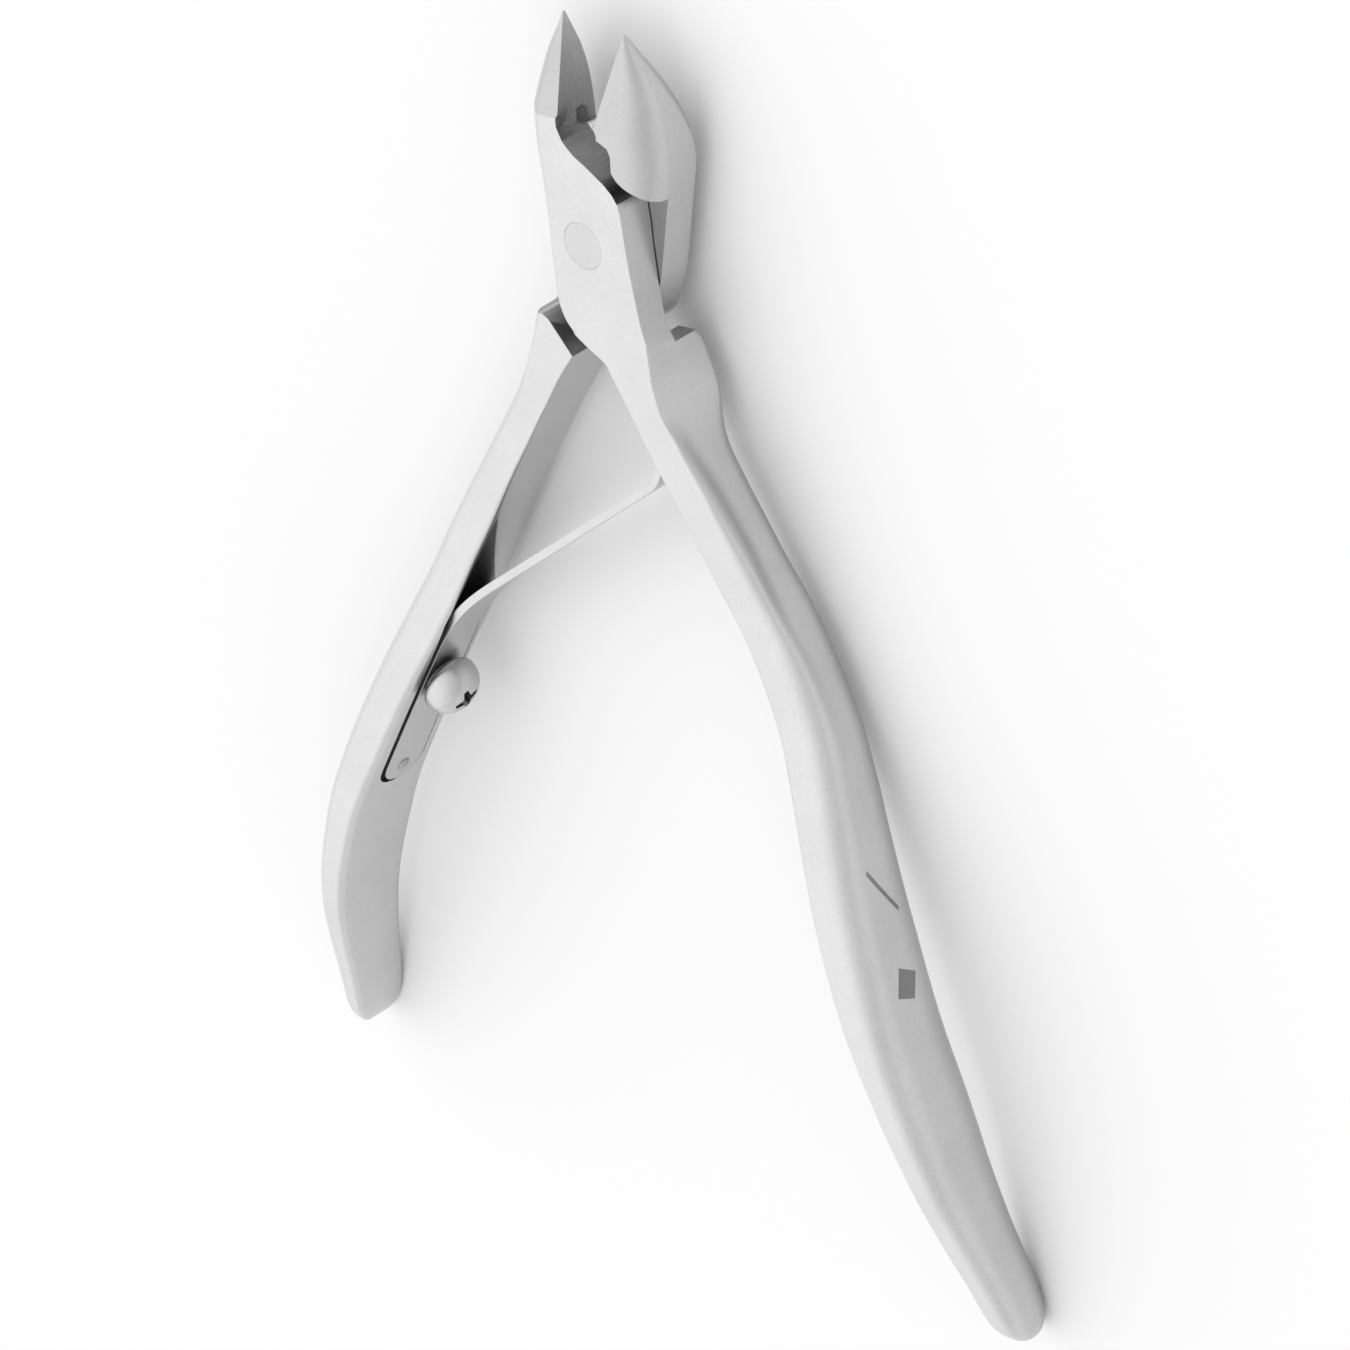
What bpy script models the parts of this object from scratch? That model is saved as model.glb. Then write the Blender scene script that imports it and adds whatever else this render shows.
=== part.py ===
"""Cuticle nipper with a lap joint and one leaf spring, held open by the spring.

Frame: the pivot axis is the Z axis, and the back of the laps, with the rivet's flush end, is z = 0.
The jaws point along +Y, the handles along -Y, and the cutting edges are on the front, facing +Z.
Pieces are drawn about the plane where the two laps meet and lifted by half their thickness at the end.
Each lever is drawn with the nipper closed, its cutting edge on the plane x = 0, and then swung open
about the origin. The front lever has its jaw on the left and its handle on the right, and the rear
lever is its mirror image, apart from the lap, which lies behind instead of in front.
"""

import math

import bmesh
import bpy
from mathutils import Matrix, Vector

MM = 0.001

# Overall sizes
LAP_THICKNESS = 5.5 * MM
OPEN_HALF_ANGLE = math.radians(9.5)
HEEL_Y = 9.7 * MM
TIP_Y = 16.3 * MM
TIP_Z = 0.5 * MM
HANDLE_END_Y = -83.4 * MM
BODY_HALF_WIDTH = 4.85 * MM

# Joint
LAP_GAP = 0.06 * MM
EDGE_CLEARANCE = 0.03 * MM
PIVOT_RADIUS = 1.7 * MM
PIVOT_CLEARANCE = 0.05 * MM

# Return spring and its fixings
SPRING_THICKNESS = 0.6 * MM
SPRING_SEAT_WIDTH = 3.8 * MM
SPRING_TIP_WIDTH = 3.6 * MM
SPRING_BEARING = (-6.979 * MM, -17.594 * MM)
SPRING_SEAT_BOTTOM_Y = -55.4 * MM
SPRING_SEAT_TOP_Y = -42 * MM
RECESS_DEPTH = 0.6 * MM
RECESS_MARGIN = 0.4 * MM
SEAT_GAP = 0.05 * MM
SCREW_Y = -45.3 * MM
SCREW_HEAD_RADIUS = 2.25 * MM
SCREW_HEAD_HEIGHT = 2.7 * MM
SCREW_SHANK_RADIUS = 1.0 * MM
SCREW_SHANK_LENGTH = 2.4 * MM
PEG_Y = -54.0 * MM
PEG_RADIUS = 0.5 * MM
PEG_LENGTH = 1.6 * MM
FIXING_CLEARANCE = 0.05 * MM

HALF = LAP_THICKNESS / 2


def curve_through(*pairs):
    """A smooth function of y through (y, value) pairs given in millimetres."""
    ys = [pair[0] * MM for pair in pairs]
    values = [pair[1] * MM for pair in pairs]
    if ys[0] > ys[-1]:
        ys.reverse()
        values.reverse()
    gaps = [b - a for a, b in zip(ys, ys[1:])]
    rises = [(b - a) / gap for a, b, gap in zip(values, values[1:], gaps)]
    slopes = [rises[0]]
    for before, after in zip(rises, rises[1:]):
        slopes.append(0 if before * after <= 0 else 2 * before * after / (before + after))
    slopes.append(rises[-1])

    def value(y):
        if y <= ys[0]:
            return values[0]
        if y >= ys[-1]:
            return values[-1]
        i = max(n for n in range(len(gaps)) if ys[n] <= y)
        t = (y - ys[i]) / gaps[i]
        start = values[i] * (1 + 2 * t) * (1 - t) ** 2 + slopes[i] * gaps[i] * t * (1 - t) ** 2
        end = values[i + 1] * t * t * (3 - 2 * t) - slopes[i + 1] * gaps[i] * t * t * (1 - t)
        return start + end

    return value


# Handle: centre line, half thickness between its inner and outer faces, and its side profile
handle_x = curve_through(
    (-7, 1.6), (-9, 2.35), (-12, 3.25), (-15, 3.95), (-18, 5.0), (-23, 6.9), (-32, 10.2), (-41, 12.6),
    (-50, 14.7), (-59, 16.6), (-68, 17.9), (-76, 18.4), (-83.4, 18.8),
)  # fmt: skip
handle_half_thickness = curve_through(
    (-9, 2.3), (-12, 1.95), (-17, 1.45), (-23, 1.5), (-32, 1.75), (-42, 1.85), (-50, 1.85), (-57, 1.65),
    (-62, 1.5), (-68, 1.35), (-76, 1.2), (-80, 1.1),
)  # fmt: skip
handle_half_height = curve_through(
    (-7, 2.75), (-12, 2.7), (-18, 2.5), (-28, 2.5), (-35, 2.75), (-42, 3.15), (-50, 3.5), (-56, 3.6),
    (-62, 3.55), (-68, 3.25), (-74, 2.8), (-80, 2.4),
)  # fmt: skip
handle_z = curve_through(
    (-16, 0), (-23, -0.4), (-30, -0.85), (-35, -0.75), (-40, 0), (-44, 0.8), (-50, 1.7), (-57, 2.2),
    (-62, 1.9), (-68, 1.2), (-73, 0.1), (-78, -1.3), (-83.4, -2.6),
)  # fmt: skip

# Lap and jaw: the curved outer side, and the back of the jaw, which thins towards the tip
body_left = curve_through(
    (16.4, 0.12), (15.2, 1.0), (14, 2.0), (12.4, 3.1), (10.6, 4.0), (8.5, 4.68), (6, 4.9), (-1, 4.9),
    (-3.6, 4.6), (-4.9, 4.35), (-5.9, 3.85), (-6.6, 3.25), (-7.3, 2.4), (-7.85, 1.65), (-8.35, 0.9),
    (-8.75, 0.25), (-9.2, -0.3),
)  # fmt: skip
jaw_back_z = curve_through((16.4, 0.3), (15, -0.5), (13, -1.6), (11, -2.3), (9, -2.65), (7.5, -2.75))
bevel_width = curve_through(
    (16.4, 0.06), (14, 1.1), (11.4, 2.0), (8.7, 2.45), (5, 2.35), (1.9, 2.1), (-1.6, 1.7), (-4.6, 1.0),
    (-6.6, 0.45), (-8, 0.1),
)  # fmt: skip
bevel_depth = curve_through(
    (16.4, 0.06), (14, 1.15), (11.4, 2.2), (8.7, 2.65), (1.9, 2.6), (-1.6, 2.0), (-4.6, 1.1),
    (-6.6, 0.5), (-8, 0.1),
)  # fmt: skip
rear_round = curve_through((16.4, 0.4), (14, 0.36), (10, 0.12), (8, 0.04))


def jaw_front_z(y):
    slope = (HALF - TIP_Z) / (TIP_Y - HEEL_Y)
    return HALF - max(0, y - HEEL_Y) * slope


def blend(a, b, t):
    t = min(1, max(0, t))
    t = t * t * (3 - 2 * t)
    return a + (b - a) * t


def inner_face_x(y):
    """The handle's inner face, for a lever with its handle on the right."""
    slope = (handle_x(y + MM) - handle_x(y - MM)) / (2 * MM)
    return handle_x(y) - handle_half_thickness(y) * math.sqrt(1 + slope * slope)


def lever_section(y, lap_in_front):
    """Left, right, back and front limits, then the corners as (across, deep, fullness), anticlockwise
    from the front left one seen along -Y. Fullness is 0 for a flat bevel and 1 for a round."""
    slope = (handle_x(y + MM) - handle_x(y - MM)) / (2 * MM)
    half = handle_half_thickness(y) * math.sqrt(1 + slope * slope)
    into_end = max(0, (-79.4 * MM - y) / (-79.4 * MM - HANDLE_END_Y))
    closing = math.sqrt(max(0, 1 - into_end**2.4)) * 0.97 + 0.03
    if y > -7 * MM:
        left = -body_left(y) * BODY_HALF_WIDTH / (4.9 * MM)
        right = 4.4 * MM
        back = max(-HALF, jaw_back_z(y))
        front = jaw_front_z(y)
        bevel = (bevel_width(y), bevel_depth(y), 0.35)
        rear = (-left * rear_round(y) / MM, (front - back) * rear_round(y) / MM * 0.8, 1)
        sharp = (0.04 * MM, 0.04 * MM, 1)
        return left, right, back, front, (bevel, rear, sharp, sharp)

    left = -body_left(y) * BODY_HALF_WIDTH / (4.9 * MM)
    left = blend(left, handle_x(y) - half * closing, (-8.4 * MM - y) / (1.2 * MM))
    right = blend(4.4 * MM, handle_x(y) + half * closing, (-8 * MM - y) / (4 * MM))
    deep = handle_half_height(y) * closing
    back = handle_z(y) - deep
    front = handle_z(y) + deep
    width = right - left
    below_shoulder = (-7 * MM - y) / (4.4 * MM)
    on_grip = (-11 * MM - y) / (24 * MM)
    across = width * blend(0.02, 0.42, on_grip)
    height = 2 * deep * blend(0.015, 0.30, on_grip)
    lap_corner = (
        max(across, blend(0.5 * MM, 0, below_shoulder)),
        max(height, blend(2.4 * MM, 0, below_shoulder)),
        1,
    )
    if below_shoulder < 0.7:
        fade = blend(1.1 * MM, 0.6 * MM, below_shoulder / 0.7)
    else:
        fade = blend(0.6 * MM, 1.3 * MM, (below_shoulder - 0.7) / 1.5)
    fade *= blend(0.4 if lap_in_front else 1.4, 1, (-9 * MM - y) / (6 * MM)) * closing
    shoulder_corner = (max(across, fade), max(height, fade), 1)
    inner = (width * 0.1, 2 * deep * blend(0.04, 0.08, on_grip), 1)
    if lap_in_front:
        return left, right, back, front, (inner, inner, shoulder_corner, lap_corner)
    return left, right, back, front, (inner, inner, lap_corner, shoulder_corner)


def section_points(y, lap_in_front):
    left, right, back, front, rounds = lever_section(y, lap_in_front)
    corners = [
        (left, front, 1, -1, rounds[0], 90),
        (left, back, 1, 1, rounds[1], 180),
        (right, back, -1, 1, rounds[2], 270),
        (right, front, -1, -1, rounds[3], 0),
    ]
    points = []
    for x, z, toward_x, toward_z, (across, deep, fullness), start in corners:
        cx = x + toward_x * across
        cz = z + toward_z * deep
        ends = []
        for angle in (math.radians(start), math.radians(start + 90)):
            ends.append((cx + across * math.cos(angle), cz + deep * math.sin(angle)))
        for step in range(6):
            angle = math.radians(start + 18 * step)
            share = step / 5
            flat_x = ends[0][0] + (ends[1][0] - ends[0][0]) * share
            flat_z = ends[0][1] + (ends[1][1] - ends[0][1]) * share
            round_x = cx + across * math.cos(angle)
            round_z = cz + deep * math.sin(angle)
            points.append((
                flat_x + (round_x - flat_x) * fullness,
                y,
                flat_z + (round_z - flat_z) * fullness,
            ))
    return points


def new_object(name, mesh, material=None):
    made = bpy.data.objects.new(name, mesh)
    bpy.context.scene.collection.objects.link(made)
    if material:
        made.data.materials.append(material)
    return made


def mesh_from(work, name):
    bmesh.ops.recalc_face_normals(work, faces=work.faces)
    mesh = bpy.data.meshes.new(name)
    work.to_mesh(mesh)
    work.free()
    return mesh


def lofted(name, rings):
    """A closed mesh skinned over rings with the same number of points."""
    work = bmesh.new()
    loops = [[work.verts.new(point) for point in ring] for ring in rings]
    for lower, upper in zip(loops, loops[1:]):
        for i in range(len(lower)):
            j = (i + 1) % len(lower)
            work.faces.new((lower[i], lower[j], upper[j], upper[i]))
    work.faces.new(loops[0])
    work.faces.new(loops[-1])
    return mesh_from(work, name)


def prism(name, outline, low, high):
    """An outline in XY, given in millimetres, between two heights."""
    work = bmesh.new()
    base = [work.verts.new((x * MM, y * MM, low)) for x, y in outline]
    top = [work.verts.new((x * MM, y * MM, high)) for x, y in outline]
    work.faces.new(base)
    work.faces.new(top)
    for i in range(len(base)):
        j = (i + 1) % len(base)
        work.faces.new((base[i], base[j], top[j], top[i]))
    return mesh_from(work, name)


def turned(name, profile, sides=48):
    """A solid turned about Z from (radius, z) points; the first and last lie on the axis."""
    work = bmesh.new()
    rings = []
    for radius, z in profile:
        if radius == 0:
            rings.append([work.verts.new((0, 0, z))])
            continue
        turn = [2 * math.pi * i / sides for i in range(sides)]
        rings.append([work.verts.new((radius * math.cos(a), radius * math.sin(a), z)) for a in turn])
    for lower, upper in zip(rings, rings[1:]):
        for i in range(sides):
            j = (i + 1) % sides
            corners = [lower[i % len(lower)], lower[j % len(lower)], upper[j % len(upper)]]
            corners.append(upper[i % len(upper)])
            work.faces.new(list(dict.fromkeys(corners)))
    return mesh_from(work, name)


def cut(target, mesh, name, matrix=None, solver="EXACT"):
    """Subtracts a mesh from an object, in the object's own coordinates, and keeps the result."""
    cutter = new_object(name, mesh)
    cutter.hide_render = True
    cutter.display_type = "WIRE"
    cutter.matrix_world = matrix if matrix else Matrix()
    step = target.modifiers.new(name, "BOOLEAN")
    step.operation = "DIFFERENCE"
    step.solver = solver
    step.object = cutter
    bpy.context.view_layer.update()
    graph = bpy.context.evaluated_depsgraph_get()
    result = bpy.data.meshes.new_from_object(target.evaluated_get(graph))
    target.modifiers.clear()
    old = target.data
    target.data = result
    bpy.data.meshes.remove(old)
    bpy.data.objects.remove(cutter)


def mirrored(mesh):
    """Turns a mesh drawn for the front lever's side into its mirror image in x."""
    work = bmesh.new()
    work.from_mesh(mesh)
    bmesh.ops.transform(work, matrix=Matrix.Diagonal((-1, 1, 1, 1)), verts=work.verts)
    bmesh.ops.reverse_faces(work, faces=work.faces)
    work.to_mesh(mesh)
    work.free()
    return mesh


def steel(name, colour, roughness):
    made = bpy.data.materials.new(name)
    made.use_nodes = True
    shader = made.node_tree.nodes["Principled BSDF"]
    shader.inputs["Base Color"].default_value = (*colour, 1)
    shader.inputs["Metallic"].default_value = 1
    shader.inputs["Roughness"].default_value = roughness
    return made


# Start from an empty scene
for leftover in list(bpy.data.objects):
    bpy.data.objects.remove(leftover)

# Shapes shared by the two levers, drawn for the lever with its jaw on the left
THROAT = [
    (-0.42, 8.75), (-0.1, 7.75), (0.35, 7.2), (0.8, 6.75), (1.6, 6.25), (2.4, 5.65), (3.2, 5.05),
    (3.8, 4.4), (4.15, 3.75), (4.25, 3.1), (4.2, 1.5), (4.0, -0.6), (3.85, -3), (3.75, -5.5),
    (3.75, -6.6), (3.83, -7.3), (4.05, -7.8), (4.4, -8.0), (7, -8.1), (7, 18), (-0.03, 18), (-0.03, 9.72),
    (-0.35, 9.3),
]  # fmt: skip
LAP_POCKET = [
    (0.6, 9.0), (-0.6, 8.93), (-1.4, 8.8), (-1.75, 8.3), (-1.95, 7.1), (-2.5, 6.65), (-3.8, 5.95),
    (-4.9, 5.2), (-8, 4.4), (-8, -9.6), (0.1, -9.5), (0.45, -9.2), (2.6, -7.6), (3.2, -7.5), (3.7, -7.8),
    (4.0, -8.1), (4.6, -8.2), (8, -8.2), (8, 9.0),
]  # fmt: skip


def station_heights():
    """The heights of the lever's sections, from the tip down, closer where its outline turns."""
    stops = [
        (TIP_Y, 0.9), (14 * MM, 0.9), (9 * MM, 1.0), (6 * MM, 1.2), (-1 * MM, 2.4), (-5 * MM, 1.0),
        (-6.6 * MM, 0.4), (-9.8 * MM, 0.4), (-12 * MM, 1.0), (-20 * MM, 1.7), (-76 * MM, 2.2),
        (-80 * MM, 1.2),
    ]  # fmt: skip
    heights = [TIP_Y]
    while heights[-1] > -80.2 * MM:
        y = heights[-1]
        step = next((gap for start, gap in reversed(stops) if y <= start), 1.0)
        heights.append(y - step * MM)
    last = heights[-1]
    for share in (0.35, 0.62, 0.82, 0.93, 0.985, 1):
        heights.append(last + (HANDLE_END_Y - last) * share)
    return heights


def make_lever(name, front, material):
    lever = new_object(name, lofted(name, [section_points(y, front) for y in station_heights()]), material)
    cut(lever, prism("throat", THROAT, -6 * MM, 6 * MM), "throat")

    # The hollow inner face of the jaw leans away behind the cutting edge
    edge = Vector((0, TIP_Y - HEEL_Y, TIP_Z - HALF)).normalized()
    away = Vector((-0.36, 0, -1)).normalized()
    across = edge.cross(away).normalized()
    if across.x < 0:
        across = -across
    away = across.cross(edge) if across.cross(edge).z < 0 else -across.cross(edge)
    heel = Vector((-EDGE_CLEARANCE, HEEL_Y, HALF))
    floor = (8.95 * MM - HEEL_Y) / edge.y
    work = bmesh.new()
    ends = []
    for along in (floor, 9 * MM):
        for side in (0, 3 * MM):
            for deep in (-1.5 * MM, 9 * MM):
                ends.append(work.verts.new(heel + edge * along + across * side + away * deep))
    for ids in ((0, 1, 3, 2), (4, 6, 7, 5), (0, 4, 5, 1), (2, 3, 7, 6), (0, 2, 6, 4), (1, 5, 7, 3)):
        work.faces.new([ends[i] for i in ids])
    cut(lever, mesh_from(work, "hollow"), "hollow")

    # Half the thickness is cleared for the other lever's lap
    low, high = (-7 * MM, LAP_GAP / 2) if front else (-LAP_GAP / 2, 7 * MM)
    cut(lever, prism("lap_pocket", LAP_POCKET, low, high), "lap_pocket")

    bore = PIVOT_RADIUS + PIVOT_CLEARANCE
    cut(lever, turned("bore", [(0, -7 * MM), (bore, -7 * MM), (bore, 7 * MM), (0, 7 * MM)]), "bore")
    if not front:
        mirrored(lever.data)
    return lever


front_steel = steel("front_lever", (0.80, 0.80, 0.80), 0.32)
rear_steel = steel("rear_lever", (0.79, 0.79, 0.79), 0.32)
front_lever = make_lever("front_lever", True, front_steel)
rear_lever = make_lever("rear_lever", False, rear_steel)

# The rivet fills the bores and is ground flush with both laps
pin_profile = [(0, -HALF), (PIVOT_RADIUS, -HALF), (PIVOT_RADIUS, HALF), (0, HALF)]
pivot_pin = new_object("pivot_pin", turned("pivot_pin", pin_profile), steel("pivot_pin", (0.77, 0.77, 0.77), 0.4))


def spring_z(y):
    """Sideways position of the leaf, which follows the grip where it is screwed down."""
    return blend(0, 1.75 * MM, (-38 * MM - y) / (17 * MM))


def spring_path():
    """The leaf's middle surface from its screwed end to its tip, for a handle on the right."""
    path = []
    sink = RECESS_DEPTH - SEAT_GAP - SPRING_THICKNESS / 2
    y = SPRING_SEAT_BOTTOM_Y
    while y < SPRING_SEAT_TOP_Y + 0.01 * MM:
        path.append(Vector((inner_face_x(y) + sink, y)))
        y += (SPRING_SEAT_TOP_Y - SPRING_SEAT_BOTTOM_Y) / 12
    start = path[-1]
    start_direction = (path[-1] - path[-2]).normalized()
    straight_from = Vector((4.9 * MM, -31.6 * MM))
    bearing = Vector(SPRING_BEARING)
    straight = (bearing - straight_from).normalized()
    straight_to = bearing - Vector((-straight.y, straight.x)) * SPRING_THICKNESS / 2
    straight = (straight_to - straight_from).normalized()
    for i in range(1, 9):
        t = i / 8
        reach = (straight_from - start).length
        a = start + start_direction * reach * 0.36
        b = straight_from - straight * reach * 0.36
        u = 1 - t
        path.append(u**3 * start + 3 * u * u * t * a + 3 * u * t * t * b + t**3 * straight_from)
    for i in range(1, 9):
        path.append(straight_from + (straight_to - straight_from) * i / 8)
    heading = math.atan2(straight.y, straight.x)
    point = straight_to
    for _ in range(9):
        heading -= math.radians(6)
        point = point + Vector((math.cos(heading), math.sin(heading))) * 0.38 * MM
        path.append(point)
    return path


def strip(name, path, widths, thickness, shift, height_of):
    """A flat strip bent along a path, with its width along Z."""
    rings = []
    for i, point in enumerate(path):
        along = path[min(i + 1, len(path) - 1)] - path[max(i - 1, 0)]
        along.normalize()
        normal = Vector((-along.y, along.x))
        middle = point + normal * shift
        a = middle + normal * thickness / 2
        b = middle - normal * thickness / 2
        z = height_of(point.y)
        w = widths[i] / 2
        rings.append([(a.x, a.y, z - w), (b.x, b.y, z - w), (b.x, b.y, z + w), (a.x, a.y, z + w)])
    return lofted(name, rings)


path = spring_path()
count = len(path)
widths = []
for i, point in enumerate(path):
    share = (point.y - SPRING_SEAT_TOP_Y) / (20 * MM)
    width = blend(SPRING_SEAT_WIDTH, SPRING_TIP_WIDTH, share)
    from_end = (point - path[0]).length / (1.6 * MM)
    if from_end < 1:
        width *= math.sqrt(1 - (1 - from_end) ** 2) * 0.7 + 0.3
    widths.append(width)

# A shallow recess in the rear lever's inner face takes the screwed end of the leaf
seat = [Vector(p) for p in path if p.y <= SPRING_SEAT_TOP_Y + 5 * MM]
seat.insert(0, seat[0] + (seat[0] - seat[1]).normalized() * 0.5 * MM)
deep = 3 * MM
lift = deep / 2 - SPRING_THICKNESS / 2 - SEAT_GAP
recess = strip("recess", seat, [SPRING_SEAT_WIDTH + 2 * RECESS_MARGIN] * len(seat), deep, lift, spring_z)
cut(rear_lever, mirrored(recess), "recess")

spring_mesh = strip("leaf_spring", path, widths, SPRING_THICKNESS, 0, spring_z)
leaf_spring = new_object("leaf_spring", mirrored(spring_mesh), steel("leaf_spring", (0.74, 0.74, 0.74), 0.3))


def seat_frame(y):
    """Axes on the leaf's outer surface over height y: Z points off the rear handle's inner face."""
    i = min(range(count - 1), key=lambda n: abs((path[n] + path[n + 1]).y / 2 - y))
    share = (y - path[i].y) / (path[i + 1].y - path[i].y)
    point = path[i] + (path[i + 1] - path[i]) * share
    along = (path[i + 1] - path[i]).normalized()
    normal = Vector((-along.y, along.x))
    top = point + normal * SPRING_THICKNESS / 2
    x_axis = Vector((-along.x, along.y, 0))
    z_axis = Vector((-normal.x, normal.y, 0))
    y_axis = z_axis.cross(x_axis)
    origin = Vector((-top.x, top.y, spring_z(y)))
    turn = Matrix((x_axis, y_axis, z_axis)).transposed().to_4x4()
    return Matrix.Translation(origin) @ turn


def hole(radius, length):
    return turned("hole", [(0, -length), (radius, -length), (radius, 2 * MM), (0, 2 * MM)])


screw_at = seat_frame(SCREW_Y)
peg_at = seat_frame(PEG_Y)
screw_hole = SCREW_SHANK_RADIUS + FIXING_CLEARANCE
peg_hole = PEG_RADIUS + FIXING_CLEARANCE
cut(leaf_spring, hole(screw_hole, 4 * MM), "screw_hole", screw_at)
cut(leaf_spring, hole(peg_hole, 4 * MM), "peg_hole", peg_at)
cut(rear_lever, hole(screw_hole, SCREW_SHANK_LENGTH + 0.2 * MM), "screw_hole", screw_at)
cut(rear_lever, hole(peg_hole, PEG_LENGTH + 0.2 * MM), "peg_hole", peg_at)

# Screw: a low domed head with a cross recess, and its shank
dome = []
for i in range(7):
    angle = math.radians(90 * i / 6)
    rise = 0.5 * MM + (SCREW_HEAD_HEIGHT - 0.5 * MM) * math.sin(angle)
    dome.append((SCREW_HEAD_RADIUS * math.cos(angle) ** 0.7, rise))
dome[-1] = (0, SCREW_HEAD_HEIGHT)
under = SEAT_GAP
screw_profile = [(0, -SCREW_SHANK_LENGTH), (SCREW_SHANK_RADIUS, -SCREW_SHANK_LENGTH)]
screw_profile += [(SCREW_SHANK_RADIUS, under), (SCREW_HEAD_RADIUS * 0.96, under), *dome]
spring_screw = new_object(
    "spring_screw", turned("spring_screw", screw_profile, 32), steel("spring_screw", (0.76, 0.76, 0.76), 0.25)
)
for quarter in (0, 90):
    arm = prism("arm", [(-1.25, -0.3), (1.25, -0.3), (1.25, 0.3), (-1.25, 0.3)], 1.4 * MM, 3 * MM)
    cut(spring_screw, arm, "recess_arm", Matrix.Rotation(math.radians(quarter + 20), 4, "Z"))
spring_screw.matrix_world = screw_at

peg_profile = [(0, -PEG_LENGTH), (PEG_RADIUS, -PEG_LENGTH), (PEG_RADIUS, 0.1 * MM), (0, 0.16 * MM)]
spring_peg = new_object(
    "spring_peg", turned("spring_peg", peg_profile, 24), steel("spring_peg", (0.7, 0.7, 0.7), 0.35)
)
spring_peg.matrix_world = peg_at

# Swing the two sides open about the pivot, which is the origin of each lever
front_lever.rotation_euler.z = OPEN_HALF_ANGLE
rear_lever.rotation_euler.z = -OPEN_HALF_ANGLE
swing = Matrix.Rotation(-OPEN_HALF_ANGLE, 4, "Z")
for fixing in (spring_screw, spring_peg):
    fixing.matrix_world = swing @ fixing.matrix_world

# The leaf flexes about the line where it leaves its seat, so its origin is put there
flex = Vector((-path[13].x, path[13].y, 0))
leaf_spring.data.transform(Matrix.Translation(-flex))
leaf_spring.matrix_world = swing @ Matrix.Translation(flex)

# Everything is lifted so that the back of the laps lies on z = 0
for made in (front_lever, rear_lever, pivot_pin, leaf_spring, spring_screw, spring_peg):
    made.location.z += HALF
    made.data.shade_smooth()
    made.data.set_sharp_from_angle(angle=math.radians(30))
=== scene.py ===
"""Cuticle nipper in satin stainless steel, held open by its leaf spring, on a pale studio floor.

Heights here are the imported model's own: the back of the laps is z = 0 and they meet at z = 2.75 mm.
Each lever is shaped with the nipper closed and its handle on the right, about the plane where the
laps meet, then swung open about the rivet. The rear lever is turned into its mirror image first.
"""

import math

import bmesh
import bpy
from mathutils import Matrix, Vector


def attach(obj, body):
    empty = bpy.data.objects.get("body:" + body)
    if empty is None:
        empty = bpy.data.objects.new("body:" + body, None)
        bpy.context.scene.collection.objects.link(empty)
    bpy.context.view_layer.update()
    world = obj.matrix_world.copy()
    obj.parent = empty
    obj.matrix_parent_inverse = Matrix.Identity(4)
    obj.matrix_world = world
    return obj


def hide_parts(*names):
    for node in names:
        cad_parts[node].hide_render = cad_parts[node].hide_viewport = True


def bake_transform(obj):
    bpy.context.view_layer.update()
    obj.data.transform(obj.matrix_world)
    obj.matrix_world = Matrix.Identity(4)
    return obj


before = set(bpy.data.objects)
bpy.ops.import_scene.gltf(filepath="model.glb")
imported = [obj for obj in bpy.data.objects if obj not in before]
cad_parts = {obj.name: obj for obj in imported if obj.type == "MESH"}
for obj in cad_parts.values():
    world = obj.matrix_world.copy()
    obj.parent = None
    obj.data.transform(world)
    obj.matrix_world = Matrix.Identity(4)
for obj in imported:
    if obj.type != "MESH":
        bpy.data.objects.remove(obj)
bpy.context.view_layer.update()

# ---------------------------------------------------------------- the two levers
# Each lever is one forging with its jaw, lap and grip. The flats are ground, the jaws are ground to
# an edge with a hollow behind it, and the grips are tumbled and satin finished.
MM = 0.001
LIFT = 2.75 * MM
OPEN_HALF_ANGLE = math.radians(9.5)
BODY_HALF_WIDTH = 4.85 * MM
DRAWN_HALF_WIDTH = 4.9 * MM
BODY_RIGHT = 4.4 * MM
BODY_FOOT_Y = -7 * MM
GRIP_ROUNDING_Y = -79.4 * MM
LAP_GAP = 0.03 * MM
HOLLOW_FLOOR_Y = 8.85 * MM
LAP_SIDE_TOP_Y = 3.6 * MM
REAR_JAW_FOOT_Y = 4 * MM
BORE_RADIUS = 1.72 * MM
HEEL_Y = 9.7 * MM
TIP_Y = 16.3 * MM
TIP_Z = 0.5 * MM
HANDLE_END_Y = -83.4 * MM
HALF = 2.75 * MM
CORNER_STEPS = 12
FLAT_STEPS = 10


def curve_through(*pairs):
    """A smooth function of y through (y, value) pairs given in millimetres."""
    ys = [pair[0] * MM for pair in pairs]
    values = [pair[1] * MM for pair in pairs]
    if ys[0] > ys[-1]:
        ys.reverse()
        values.reverse()
    gaps = [b - a for a, b in zip(ys, ys[1:])]
    rises = [(b - a) / gap for a, b, gap in zip(values, values[1:], gaps)]
    slopes = [rises[0]]
    for before, after in zip(rises, rises[1:]):
        slopes.append(0 if before * after <= 0 else 2 * before * after / (before + after))
    slopes.append(rises[-1])

    def value(y):
        if y <= ys[0]:
            return values[0]
        if y >= ys[-1]:
            return values[-1]
        i = max(n for n in range(len(gaps)) if ys[n] <= y)
        t = (y - ys[i]) / gaps[i]
        start = values[i] * (1 + 2 * t) * (1 - t) ** 2 + slopes[i] * gaps[i] * t * (1 - t) ** 2
        end = values[i + 1] * t * t * (3 - 2 * t) - slopes[i + 1] * gaps[i] * t * t * (1 - t)
        return start + end

    return value


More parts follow.
